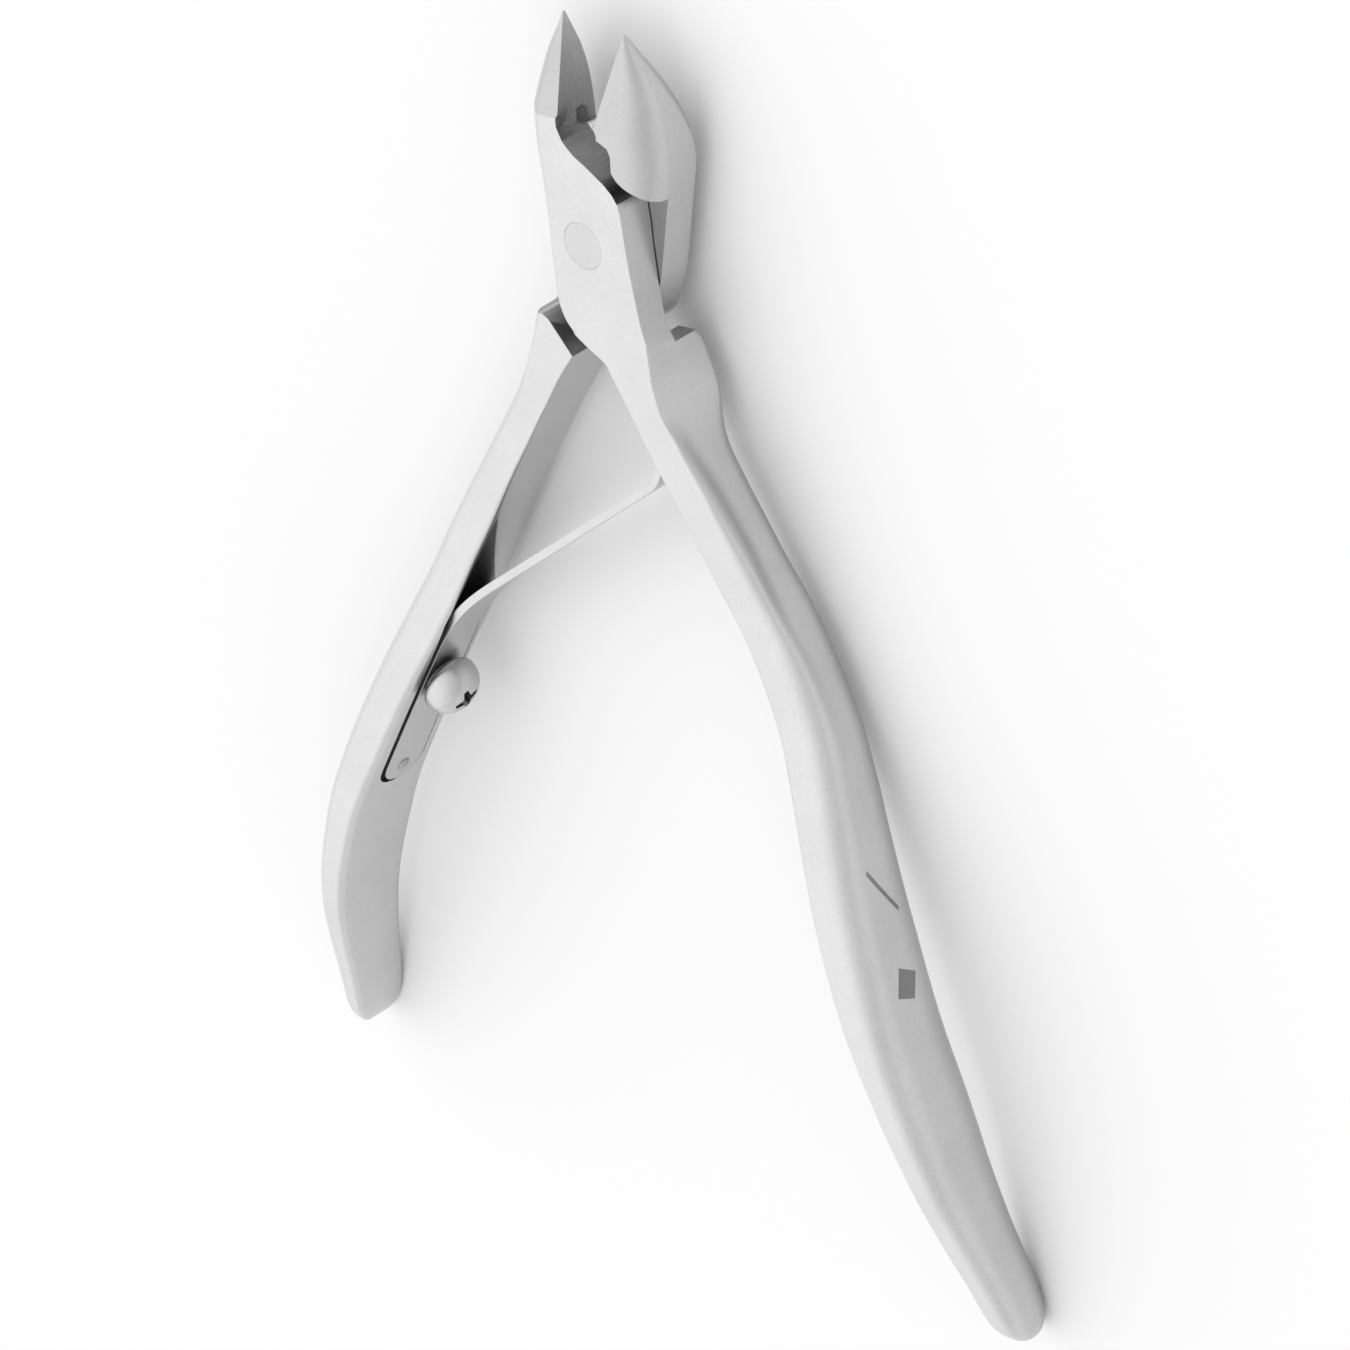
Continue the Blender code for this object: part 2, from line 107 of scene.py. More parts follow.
# Grip: centre line, half thickness, and its side profile
handle_x = curve_through(
    (-7, 1.6), (-9, 2.35), (-12, 3.25), (-15, 3.95), (-18, 5.0), (-23, 6.9), (-32, 10.2),
    (-41, 12.6), (-50, 14.7), (-59, 16.6), (-68, 17.9), (-76, 18.4), (-83.4, 18.8),
)
handle_half_thickness = curve_through(
    (-9, 2.3), (-12, 1.95), (-17, 1.45), (-23, 1.5), (-32, 1.75), (-42, 1.85), (-50, 1.85),
    (-57, 1.65), (-62, 1.5), (-68, 1.35), (-76, 1.2), (-80, 1.1),
)
handle_half_height = curve_through(
    (-7, 2.75), (-12, 2.7), (-18, 2.5), (-28, 2.5), (-35, 2.75), (-42, 3.15), (-50, 3.5),
    (-56, 3.6), (-62, 3.55), (-68, 3.25), (-74, 2.8), (-80, 2.4),
)
handle_z = curve_through(
    (-16, 0), (-23, -0.4), (-30, -0.85), (-35, -0.75), (-40, 0), (-44, 0.8), (-50, 1.7),
    (-57, 2.2),
    (-62, 1.9), (-68, 1.2), (-73, 0.1), (-78, -1.3), (-83.4, -2.6),
)

# Lap and jaw: the curved outer side, the back of the jaw, and the ground facet
body_left = curve_through(
    (16.4, 0.12), (15.2, 1.0), (14, 2.0), (12.4, 3.1), (10.6, 4.0), (8.5, 4.68), (6, 4.9),
    (-1, 4.9), (-3.6, 4.6), (-4.9, 4.35), (-5.9, 3.85), (-6.6, 3.25), (-7.3, 2.4),
    (-7.85, 1.65), (-8.35, 0.9), (-8.75, 0.25), (-9.2, -0.3),
)
jaw_back_z = curve_through(
    (16.4, 0.3), (15, -0.5), (13, -1.6), (11, -2.3), (9, -2.65), (7.5, -2.75),
)
bevel_width = curve_through(
    (16.4, 0.06), (14, 1.1), (11.4, 2.0), (8.7, 2.45), (5, 2.35), (1.9, 2.1), (-1.6, 1.7),
    (-4.6, 1.0), (-6.6, 0.45), (-8, 0.1),
)
bevel_depth = curve_through(
    (16.4, 0.06), (14, 1.15), (11.4, 2.2), (8.7, 2.65), (1.9, 2.6), (-1.6, 2.0), (-4.6, 1.1),
    (-6.6, 0.5), (-8, 0.1),
)
rear_round = curve_through((16.4, 0.4), (14, 0.36), (10, 0.12), (8, 0.04))

# Shoulder: how far the front edge stands in, and the swelling that the grip grows out of
edge_inset = curve_through(
    (-6.8, 0.05), (-8.5, 0.15), (-10, 0.5), (-12, 0.8), (-14, 0.35), (-16, 0),
)
swelling = curve_through(
    (-12, 0), (-14, 0.35), (-18, 0.55), (-23, 0.5), (-28, 0.3), (-33, 0.12), (-38, 0),
)
valley_z = curve_through(
    (-12.5, 2.2), (-15, 1.6), (-19, 0.85), (-23.7, 0.48), (-27.8, 0.5), (-31, 0.1), (-40, -0.4),
)


def blend(a, b, t):
    t = min(1, max(0, t))
    t = t * t * (3 - 2 * t)
    return a + (b - a) * t


def jaw_front_z(y):
    return HALF - max(0, y - HEEL_Y) * (HALF - TIP_Z) / (TIP_Y - HEEL_Y)


def slanted(y):
    """The handle's half thickness measured across, where the handle runs at a slant."""
    slope = (handle_x(y + MM) - handle_x(y - MM)) / (2 * MM)
    return handle_half_thickness(y) * math.sqrt(1 + slope * slope)


def lever_section(y, in_front):
    """Left, right, back and front limits, then the corners as (across, deep, fullness)."""
    half = slanted(y)
    if y > BODY_FOOT_Y:
        left = -body_left(y) * BODY_HALF_WIDTH / DRAWN_HALF_WIDTH
        back = max(-HALF, jaw_back_z(y))
        front = jaw_front_z(y)
        facet = (bevel_width(y), bevel_depth(y), 0.35 if in_front else 0.9)
        rear = (-left * rear_round(y) / MM, (front - back) * rear_round(y) / MM * 0.8, 1)
        sharp = (0.04 * MM, 0.04 * MM, 1)
        return left, BODY_RIGHT, back, front, (facet, rear, sharp, sharp)

    into_end = max(0, (GRIP_ROUNDING_Y - y) / (GRIP_ROUNDING_Y - HANDLE_END_Y))
    closing = math.sqrt(max(0, 1 - into_end**2.4)) * 0.97 + 0.03
    left = -body_left(y) * BODY_HALF_WIDTH / DRAWN_HALF_WIDTH
    left = blend(left, handle_x(y) - half * closing, (-8.4 * MM - y) / (1.2 * MM))
    right = blend(BODY_RIGHT, handle_x(y) + half * closing, (-8 * MM - y) / (4 * MM))
    deep = handle_half_height(y) * closing
    back, front = handle_z(y) - deep, handle_z(y) + deep
    if in_front and y > -9 * MM:
        back += 0.9 * MM * (1 - math.sqrt(1 - min(1, (y + 9 * MM) / (1.5 * MM)) ** 2))
    width = right - left
    below_shoulder = (BODY_FOOT_Y - y) / (4.4 * MM)
    on_grip = (-11 * MM - y) / (24 * MM)
    across = width * blend(0.02, 0.46, on_grip)
    height = 2 * deep * blend(0.015, 0.34, on_grip)
    front_corner = (across, height, 1)
    if below_shoulder < 0.7:
        fade = blend(1.1 * MM, 0.6 * MM, below_shoulder / 0.7)
    else:
        fade = blend(0.6 * MM, 1.3 * MM, (below_shoulder - 0.7) / 1.5)
    fade *= blend(0.4 if in_front else 1.4, 1, (-9 * MM - y) / (6 * MM)) * closing
    back_corner = (max(across, fade), max(height, fade), 1)
    inner = (width * blend(0.03, 0.14, on_grip), 2 * deep * blend(0.02, 0.1, on_grip), 1)
    if in_front:
        return left, right, back, front, (inner, inner, back_corner, front_corner)
    lap_across = max(across, blend(0.5 * MM, 0, below_shoulder))
    lap_deep = max(height, blend(2.4 * MM, 0, below_shoulder))
    lap_corner = (lap_across, lap_deep, 1)
    return left, right, back, front, (inner, inner, lap_corner, back_corner)


def section_points(y, in_front):
    left, right, back, front, rounds = lever_section(y, in_front)
    corners = [
        (left, front, 1, -1, rounds[0], 90),
        (left, back, 1, 1, rounds[1], 180),
        (right, back, -1, 1, rounds[2], 270),
        (right, front, -1, -1, rounds[3], 0),
    ]
    outline = []
    for corner_x, corner_z, toward_x, toward_z, (across, deep, fullness), start in corners:
        cx, cz = corner_x + toward_x * across, corner_z + toward_z * deep
        ends = []
        for angle in (math.radians(start), math.radians(start + 90)):
            ends.append((cx + across * math.cos(angle), cz + deep * math.sin(angle)))
        for step in range(CORNER_STEPS + 1):
            share = step / CORNER_STEPS
            angle = math.radians(start + 90 * share)
            flat_x = ends[0][0] + (ends[1][0] - ends[0][0]) * share
            flat_z = ends[0][1] + (ends[1][1] - ends[0][1]) * share
            round_x = cx + across * math.cos(angle)
            round_z = cz + deep * math.sin(angle)
            x = flat_x + (round_x - flat_x) * fullness
            z = flat_z + (round_z - flat_z) * fullness
            outline.append((x, z))
    points = []
    per = CORNER_STEPS + 1
    for corner in range(4):
        points += outline[corner * per:(corner + 1) * per]
        a, b = outline[(corner + 1) * per - 1], outline[(corner + 1) * per % (4 * per)]
        for step in range(1, FLAT_STEPS):
            t = step / FLAT_STEPS
            points.append((a[0] + (b[0] - a[0]) * t, a[1] + (b[1] - a[1]) * t))
    if y > -6.8 * MM:
        return [(x, y, z) for x, z in points]
    middle = (left + right) / 2
    shaped = []
    for x, z in points:
        outward = max(0, (x - middle) / (right - middle))
        forward = min(1, max(0, (z - back) / (front - back)))
        push = -edge_inset(y) * forward
        rise = blend(0, 1, (z - valley_z(y) + 0.8 * MM) / (1.6 * MM))
        push += swelling(y) * (rise if in_front else rise - 1)
        shaped.append((x + push * outward, y, z))
    return shaped


def mesh_from(work, name, material=None):
    bmesh.ops.recalc_face_normals(work, faces=work.faces)
    mesh = bpy.data.meshes.new(name)
    work.to_mesh(mesh)
    work.free()
    if material:
        mesh.materials.append(material)
    return mesh


def new_object(name, mesh):
    made = bpy.data.objects.new(name, mesh)
    bpy.context.scene.collection.objects.link(made)
    return made


def lofted(name, rings, material=None):
    """A closed mesh skinned over rings with the same number of points."""
    work = bmesh.new()
    loops = [[work.verts.new(point) for point in ring] for ring in rings]
    for lower, upper in zip(loops, loops[1:]):
        for i in range(len(lower)):
            j = (i + 1) % len(lower)
            work.faces.new((lower[i], lower[j], upper[j], upper[i]))
    work.faces.new(loops[0])
    work.faces.new(loops[-1])
    return mesh_from(work, name, material)


def prism(name, levels, material=None):
    """An outline in millimetres for each height, given as (height, outline) pairs."""
    rings = [[(x * MM, y * MM, z) for x, y in outline] for z, outline in levels]
    return lofted(name, rings, material)


def turned(name, profile, sides=96, material=None):
    """A solid turned about Z from (radius, z) points; the first and last lie on the axis."""
    work = bmesh.new()
    rings = []
    for radius, z in profile:
        if radius == 0:
            rings.append([work.verts.new((0, 0, z))])
            continue
        turn = [2 * math.pi * i / sides for i in range(sides)]
        circle = [(radius * math.cos(angle), radius * math.sin(angle), z) for angle in turn]
        rings.append([work.verts.new(point) for point in circle])
    for lower, upper in zip(rings, rings[1:]):
        for i in range(sides):
            j = (i + 1) % sides
            corners = [lower[i % len(lower)], lower[j % len(lower)], upper[j % len(upper)]]
            corners.append(upper[i % len(upper)])
            work.faces.new(list(dict.fromkeys(corners)))
    return mesh_from(work, name, material)


def cut(target, mesh, name, matrix=None):
    """Subtracts a mesh from an object; the cut faces keep the cutter's material."""
    cutter = new_object(name, mesh)
    cutter.matrix_world = matrix if matrix else Matrix()
    step = target.modifiers.new(name, "BOOLEAN")
    step.operation = "DIFFERENCE"
    step.solver = "EXACT"
    step.material_mode = "TRANSFER"
    step.object = cutter
    bpy.context.view_layer.update()
    graph = bpy.context.evaluated_depsgraph_get()
    result = bpy.data.meshes.new_from_object(target.evaluated_get(graph))
    target.modifiers.clear()
    old = target.data
    target.data = result
    bpy.data.meshes.remove(old)
    bpy.data.objects.remove(cutter)


def mirrored(mesh):
    work = bmesh.new()
    work.from_mesh(mesh)
    bmesh.ops.transform(work, matrix=Matrix.Diagonal((-1, 1, 1, 1)), verts=work.verts)
    bmesh.ops.reverse_faces(work, faces=work.faces)
    work.to_mesh(mesh)
    work.free()
    return mesh


def steel(
    name, dark, light, roughness,
    grain=(1, 1, 1), grain_size=0.25, depth=0.004, edge=0.06, flank_painted_shade=0.6,
):
    """Worked steel: a mottled tone between two greys, with softened edges.

    The grain may be drawn out along an axis, and the last argument paints shade by facing: it scales
    the tone of faces turned from the front, darker below 1 and lighter above 1.
    Grain size, depth and edge are in millimetres.
    """
    made = bpy.data.materials.new(name)
    made.use_nodes = True
    nodes, links = made.node_tree.nodes, made.node_tree.links
    shader = nodes["Principled BSDF"]
    shader.inputs["Metallic"].default_value = 1
    place = nodes.new("ShaderNodeTexCoord")
    stretch = nodes.new("ShaderNodeMapping")
    stretch.inputs["Scale"].default_value = grain
    links.new(place.outputs["Object"], stretch.inputs["Vector"])
    fine = nodes.new("ShaderNodeTexNoise")
    fine.inputs["Scale"].default_value = 1 / (grain_size * MM)
    fine.inputs["Detail"].default_value = 3
    links.new(stretch.outputs["Vector"], fine.inputs["Vector"])
    broad = nodes.new("ShaderNodeTexNoise")
    broad.inputs["Scale"].default_value = 1 / (4 * MM)
    broad.inputs["Detail"].default_value = 2
    links.new(place.outputs["Object"], broad.inputs["Vector"])
    mix = nodes.new("ShaderNodeMix")
    mix.data_type = "FLOAT"
    mix.inputs["Factor"].default_value = 0.45
    links.new(fine.outputs["Fac"], mix.inputs["A"])
    links.new(broad.outputs["Fac"], mix.inputs["B"])
    tone = nodes.new("ShaderNodeValToRGB")
    tone.color_ramp.elements[0].position = 0.3
    tone.color_ramp.elements[0].color = (dark, dark, dark, 1)
    tone.color_ramp.elements[1].position = 0.7
    tone.color_ramp.elements[1].color = (light, light, light, 1)
    links.new(mix.outputs["Result"], tone.inputs["Fac"])
    facing = nodes.new("ShaderNodeSeparateXYZ")
    links.new(place.outputs["Normal"], facing.inputs["Vector"])
    # Painted shade by facing: the tone is scaled by how far the face's object-space normal turns from
    # the front.
    flank_shade_node = nodes.new("ShaderNodeMapRange")
    flank_shade_node.interpolation_type = "SMOOTHSTEP"
    flank_shade_node.inputs["From Min"].default_value = -0.7
    flank_shade_node.inputs["From Max"].default_value = 0.75
    flank_shade_node.inputs["To Min"].default_value = flank_painted_shade
    links.new(facing.outputs["Z"], flank_shade_node.inputs["Value"])
    shade = nodes.new("ShaderNodeVectorMath")
    shade.operation = "SCALE"
    links.new(tone.outputs["Color"], shade.inputs["Vector"])
    links.new(flank_shade_node.outputs["Result"], shade.inputs["Scale"])
    links.new(shade.outputs["Vector"], shader.inputs["Base Color"])
    gloss = nodes.new("ShaderNodeMapRange")
    gloss.inputs["To Min"].default_value = roughness - 0.05
    gloss.inputs["To Max"].default_value = roughness + 0.05
    links.new(fine.outputs["Fac"], gloss.inputs["Value"])
    links.new(gloss.outputs["Result"], shader.inputs["Roughness"])
    soft_edge = nodes.new("ShaderNodeBevel")
    soft_edge.samples = 6
    soft_edge.inputs["Radius"].default_value = edge * MM
    bump = nodes.new("ShaderNodeBump")
    bump.inputs["Strength"].default_value = 0.35
    bump.inputs["Distance"].default_value = depth * MM
    links.new(fine.outputs["Fac"], bump.inputs["Height"])
    links.new(soft_edge.outputs["Normal"], bump.inputs["Normal"])
    links.new(bump.outputs["Normal"], shader.inputs["Normal"])
    return made


# The last argument paints shade on faces turned from the front: darker on the satin, the hollow and
# the screw, and lighter, a painted light, on the rear jaw.
satin = steel("satin_steel", 0.62, 0.69, 0.36, grain_size=0.3, edge=0.1, flank_painted_shade=0.72)
ground = steel("ground_facet", 0.50, 0.56, 0.30, grain=(3, 0.35, 3), grain_size=0.4)
jaw_satin = steel("jaw_satin", 0.52, 0.58, 0.36, grain_size=0.3, flank_painted_shade=1.12)
hollow_ground = steel(
    "hollow_ground", 0.50, 0.66, 0.28, grain=(4, 0.15, 4), grain_size=0.5, depth=0.008, flank_painted_shade=0.8
)
# The milled throat walls, the holes and the screw's cross recess are painted dark as shade.
milled_shade_paint = steel("milled_throat_painted_shade", 0.22, 0.36, 0.30, grain=(2, 2, 0.3), grain_size=0.3)
# The pocket faces between the laps get a lighter painted shade.
pocket_shade_paint = steel("milled_pocket_painted_shade", 0.42, 0.5, 0.32, grain_size=0.3)

# Throat between the jaws, drawn for the lever with its jaw on the left
THROAT_TOP = [
    (-0.42, 8.75), (-0.1, 7.75), (0.35, 7.2), (0.8, 6.75), (1.6, 6.25), (2.4, 5.65), (3.2, 5.05),
    (3.8, 4.4), (4.15, 3.75), (4.25, 3.1), (4.2, 1.5),
]
THROAT_END = [(7, 18), (-0.03, 18), (-0.03, 9.72), (-0.35, 9.3)]
REAR_THROAT = THROAT_TOP + [
    (4.0, -0.6), (3.85, -3), (3.75, -5.5), (3.75, -6.6), (3.83, -7.3), (4.05, -7.8), (4.4, -8.0),
    (7, -8.1),
] + THROAT_END
FRONT_THROAT_LOW = THROAT_TOP + [
    (4.0, -0.6), (3.87, -3), (3.83, -5.2), (3.92, -6.0), (4.12, -6.8), (4.32, -7.3), (4.6, -7.5),
    (7, -7.55),
] + THROAT_END
FRONT_THROAT_HIGH = THROAT_TOP + [
    (4.12, -0.6), (4.14, -3), (4.22, -5.2), (4.32, -6.0), (4.45, -6.8), (4.6, -7.2), (5, -7.4),
    (7, -7.55),
] + THROAT_END
POCKET_TOP = [
    (0.6, 9.0), (-0.6, 8.93), (-1.4, 8.8), (-1.75, 8.3), (-1.95, 7.1), (-2.5, 6.65), (-3.8, 5.95),
    (-4.9, 5.2), (-8, 4.4), (-8, -9.6), (0.1, -9.5), (0.45, -9.2), (2.6, -7.6), (3.2, -7.5),
]
REAR_POCKET = POCKET_TOP + [(3.7, -7.8), (4.0, -8.1), (4.6, -8.2), (8, -8.2), (8, 9.0)]
FRONT_POCKET = POCKET_TOP + [(3.5, -7.55), (3.9, -7.56), (4.6, -7.55), (8, -7.55), (8, 9.0)]


def station_heights():
    """The heights of the sections, from the tip down, closer where the outline turns."""
    heights = [TIP_Y]
    while heights[-1] > GRIP_ROUNDING_Y:
        y = heights[-1]
        fine = y > -13 * MM
        heights.append(y - (0.3 if fine else 0.5) * MM)
    last = heights[-1]
    for i in range(1, 25):
        heights.append(last + (HANDLE_END_Y - last) * math.sin(math.radians(90 * i / 24)))
    return heights


def make_lever(name, in_front):
    sections = [section_points(y, in_front) for y in station_heights()]
    lever = new_object(name, lofted(name, sections, satin))
    if in_front:
        low, high = FRONT_THROAT_LOW, FRONT_THROAT_HIGH
        levels = [(-6 * MM, low), (0, low), (HALF, high), (6 * MM, high)]
    else:
        levels = [(-6 * MM, REAR_THROAT), (6 * MM, REAR_THROAT)]
    cut(lever, prism("throat", levels, milled_shade_paint), "throat")

    # The hollow face of the jaw leans away behind the cutting edge
    edge = Vector((0, TIP_Y - HEEL_Y, TIP_Z - HALF)).normalized()
    away = Vector((-0.36, 0, -1)).normalized()
    across = edge.cross(away).normalized()
    if across.x < 0:
        across = -across
    away = across.cross(edge) if across.cross(edge).z < 0 else -across.cross(edge)
    heel = Vector((-0.03 * MM, HEEL_Y, HALF))
    floor = (8.95 * MM - HEEL_Y) / edge.y
    work = bmesh.new()
    ends = []
    for along in (floor, 9 * MM):
        for side in (0, 3 * MM):
            for deep in (-1.5 * MM, 9 * MM):
                ends.append(work.verts.new(heel + edge * along + across * side + away * deep))
    for ids in ((0, 1, 3, 2), (4, 6, 7, 5), (0, 4, 5, 1), (2, 3, 7, 6), (0, 2, 6, 4), (1, 5, 7, 3)):
        work.faces.new([ends[i] for i in ids])
    cut(lever, mesh_from(work, "hollow", hollow_ground), "hollow")

    if in_front:
        levels = [(-7 * MM, FRONT_POCKET), (LAP_GAP, FRONT_POCKET)]
    else:
        levels = [(-LAP_GAP, REAR_POCKET), (7 * MM, REAR_POCKET)]
    cut(lever, prism("lap_pocket", levels, pocket_shade_paint), "lap_pocket")
    bore = [(0, -7 * MM), (BORE_RADIUS, -7 * MM), (BORE_RADIUS, 7 * MM), (0, 7 * MM)]
    cut(lever, turned("bore", bore, 96, satin), "bore")
    if not in_front:
        mirrored(lever.data)
    return lever


def finish_ground_faces(lever, in_front):
    """Grinds the jaw's front along its length, and finishes the lap's open side as the grip is."""
    mesh = lever.data
    names = [material.name for material in mesh.materials]
    for extra in (ground, jaw_satin):
        if extra.name not in names:
            mesh.materials.append(extra)
            names.append(extra.name)
    for face in mesh.polygons:
        y, facing = face.center.y, face.normal
        finish = names[face.material_index]
        if in_front and y > HEEL_Y - 0.4 * MM and finish == satin.name:
            finish = ground.name
        if y > HOLLOW_FLOOR_Y and finish == milled_shade_paint.name:
            finish = hollow_ground.name
        if y < LAP_SIDE_TOP_Y and finish == milled_shade_paint.name and abs(facing.x) > 0.85:
            finish = satin.name
        cut_face = finish in (milled_shade_paint.name, pocket_shade_paint.name)
        if in_front and facing.y > 0.3 and y < BODY_FOOT_Y and cut_face:
            finish = satin.name
        if not in_front and y > REAR_JAW_FOOT_Y and facing.z > 0.15 and finish == satin.name:
            finish = jaw_satin.name
        face.material_index = names.index(finish)


def settle(piece, turn, node, body, sharp=28):
    """Bakes the open position into the mesh, and puts the piece in its node's place."""
    opened = Matrix.Translation((0, 0, LIFT)) @ Matrix.Rotation(turn, 4, "Z")
    piece.data.transform(opened @ piece.matrix_world)
    piece.matrix_world = Matrix()
    piece.data.shade_smooth()
    piece.data.set_sharp_from_angle(angle=math.radians(sharp))
    if node:
        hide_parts(node)
    if body:
        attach(piece, body)
    return piece


front_lever = make_lever("front_lever_forging", True)
rear_lever = make_lever("rear_lever_forging", False)
finish_ground_faces(front_lever, True)
finish_ground_faces(rear_lever, False)

# ---------------------------------------------------------------- leaf spring
# One strip of spring steel, blanked and bent. Its lower end lies in a recess of the rear grip and
# its curled tip bears on the front lever.
SPRING_THICKNESS = 0.6 * MM
SEAT_BOTTOM_Y = -55.4 * MM
SEAT_TOP_Y = -42 * MM
SEAT_WIDTH = 3.8 * MM
TIP_WIDTH = 3.6 * MM
SINK = 0.55 * MM
END_ROUND = 1.9 * MM
SCREW_Y = -45.3 * MM
PEG_Y = -54.0 * MM
spring_steel = steel("spring_steel", 0.60, 0.68, 0.3, grain_size=0.2, edge=0.08)
# The recess floor is painted dark, as the shade inside the cavity.
recess_shade_paint = steel("recess_floor_painted_shade", 0.22, 0.34, 0.4)


def inner_face_x(y):
    return handle_x(y) - slanted(y)


def spring_z(y):
    return blend(0, 1.75 * MM, (-38 * MM - y) / (17 * MM))


def spring_path():
    """The leaf's middle surface from its screwed end to its tip, for a handle on the right."""
    points = []
    sink = SINK - SPRING_THICKNESS / 2
    for i in range(49):
        y = SEAT_BOTTOM_Y + (SEAT_TOP_Y - SEAT_BOTTOM_Y) * i / 48
        points.append(Vector((inner_face_x(y) + sink, y)))
    start = points[-1]
    start_direction = (points[-1] - points[-2]).normalized()
    straight_from = Vector((4.9 * MM, -31.6 * MM))
    straight_to = Vector((-6.75 * MM, -17.4 * MM))
    straight = (straight_to - straight_from).normalized()
    reach = (straight_from - start).length
    a = start + start_direction * reach * 0.36
    b = straight_from - straight * reach * 0.36
    for i in range(1, 33):
        t = i / 32
        u = 1 - t
        points.append(u**3 * start + 3 * u * u * t * a + 3 * u * t * t * b + t**3 * straight_from)
    for i in range(1, 33):
        points.append(straight_from + (straight_to - straight_from) * i / 32)
    heading = math.atan2(straight.y, straight.x)
    point = straight_to
    for _ in range(36):
        heading -= math.radians(1.5)
        point = point + Vector((math.cos(heading), math.sin(heading))) * 0.095 * MM
        points.append(point)
    return points


def strip(name, path, widths):
    """The flat leaf bent along its path, with its width along Z."""
    rings = []
    for i, point in enumerate(path):
        along = path[min(i + 1, len(path) - 1)] - path[max(i - 1, 0)]
        along.normalize()
        normal = Vector((-along.y, along.x))
        a = point + normal * SPRING_THICKNESS / 2
        b = point - normal * SPRING_THICKNESS / 2
        z = spring_z(point.y)
        w = widths[i] / 2
        steps = (1, 0.9, 0.6, 0.2, -0.2, -0.6, -0.9, -1)
        across = [(a, w * s) for s in steps] + [(b, -w * s) for s in steps]
        rings.append([(p.x, p.y, z + dz) for p, dz in across])
    return lofted(name, rings, spring_steel)


path = spring_path()
widths = []
for i, point in enumerate(path):
    width = blend(SEAT_WIDTH, TIP_WIDTH, (point.y - SEAT_TOP_Y) / (20 * MM))
    from_end = (point - path[0]).length / END_ROUND
    if from_end < 1:
        width *= math.sqrt(max(0.02, 1 - (1 - from_end) ** 2))
    from_tip = (point - path[-1]).length / (0.6 * MM)
    if from_tip < 1:
        width *= 0.75 + 0.25 * math.sqrt(1 - (1 - from_tip) ** 2)
    widths.append(width)

# The recess in the rear grip is milled a little larger than the leaf, and runs out upwards. Its floor
# is painted dark as the shade inside it.
rings = []
seat_ys = [SEAT_BOTTOM_Y - 0.2 * MM + 0.28 * MM * i for i in range(101)]
for y in seat_ys:
    slope = (inner_face_x(y + MM) - inner_face_x(y - MM)) / (2 * MM)
    from_end = min(1, (y - seat_ys[0]) / END_ROUND)
    wide = 2.1 * MM * math.sqrt(max(0.02, 1 - (1 - from_end) ** 2))
    ring = []
    high = min(spring_z(y) + wide + 0.25 * MM, handle_z(y) + handle_half_height(y) - 0.45 * MM)
    low = spring_z(y) - wide
    for share in (1, 0.9, 0.8, 0.7, 0.6, 0.5, 0.4, 0.3, 0.2, 0.1, 0):
        runs_out = (y + 43 * MM - 9 * MM * share) / (7 * MM)
        floor_depth = 0.6 * MM - max(0, runs_out) * 0.7 * MM
        x = inner_face_x(y) + floor_depth * math.sqrt(1 + slope * slope)
        ring.append((x, y, low + (high - low) * share))
    ring.append((inner_face_x(y) - 3 * MM, y, low))
    ring.append((inner_face_x(y) - 3 * MM, y, high))
    rings.append(ring)
cut(rear_lever, mirrored(lofted("recess", rings, recess_shade_paint)), "recess")

leaf = new_object("leaf_blank", mirrored(strip("leaf", path, widths)))


def seat_frame(y):
    """Axes on the leaf's outer surface over height y: Z points off the rear handle's inner face."""
    i = min(range(len(path) - 1), key=lambda n: abs((path[n] + path[n + 1]).y / 2 - y))
    share = (y - path[i].y) / (path[i + 1].y - path[i].y)
    point = path[i] + (path[i + 1] - path[i]) * share
    along = (path[i + 1] - path[i]).normalized()
    normal = Vector((-along.y, along.x))
    top = point + normal * SPRING_THICKNESS / 2
    x_axis = Vector((-along.x, along.y, 0))
    z_axis = Vector((-normal.x, normal.y, 0))
    y_axis = z_axis.cross(x_axis)
    origin = Vector((-top.x, top.y, spring_z(y)))
    turn = Matrix((x_axis, y_axis, z_axis)).transposed().to_4x4()
    return Matrix.Translation(origin) @ turn


screw_at = seat_frame(SCREW_Y)
peg_at = seat_frame(PEG_Y)
holes = [("screw_hole", screw_at, 1.05 * MM, 2.6 * MM), ("peg_hole", peg_at, 0.52 * MM, 1.8 * MM)]
# The holes in the rear grip take the throat's dark painted shade.
for name, where, radius, length in holes:
    hole = [(0, -length), (radius, -length), (radius, 2 * MM), (0, 2 * MM)]
    cut(leaf, turned(name, hole, 48, spring_steel), name, where)
    cut(rear_lever, turned(name, hole, 48, milled_shade_paint), name, where)

settle(leaf, -OPEN_HALF_ANGLE, None, None, 40)
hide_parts("leaf_spring")
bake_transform(leaf)
settle(front_lever, OPEN_HALF_ANGLE, "front_lever", "front")
settle(rear_lever, -OPEN_HALF_ANGLE, "rear_lever", "rear")

# ---------------------------------------------------------------- etched mark
# A bar and a block etched dark into the front lever's grip, with no lettering. Each is a thin
# sheet that follows the grip's side, a hair above the steel.
MARK_PROUD = 0.015 * MM
etched = steel("etched_mark", 0.20, 0.28, 0.5, grain_size=0.12, flank_painted_shade=1)


def side_point(y, z_share):
    """A point on the front lever's outer side, at a share of its height."""
    ring = section_points(y, True)
    low, high = min(p[2] for p in ring), max(p[2] for p in ring)
    z = low + (high - low) * z_share
    crossings = []
    for a, b in zip(ring, ring[1:] + ring[:1]):
        if (a[2] - z) * (b[2] - z) <= 0 and a[2] != b[2]:
            crossings.append(a[0] + (b[0] - a[0]) * (z - a[2]) / (b[2] - a[2]))
    return max(crossings), z


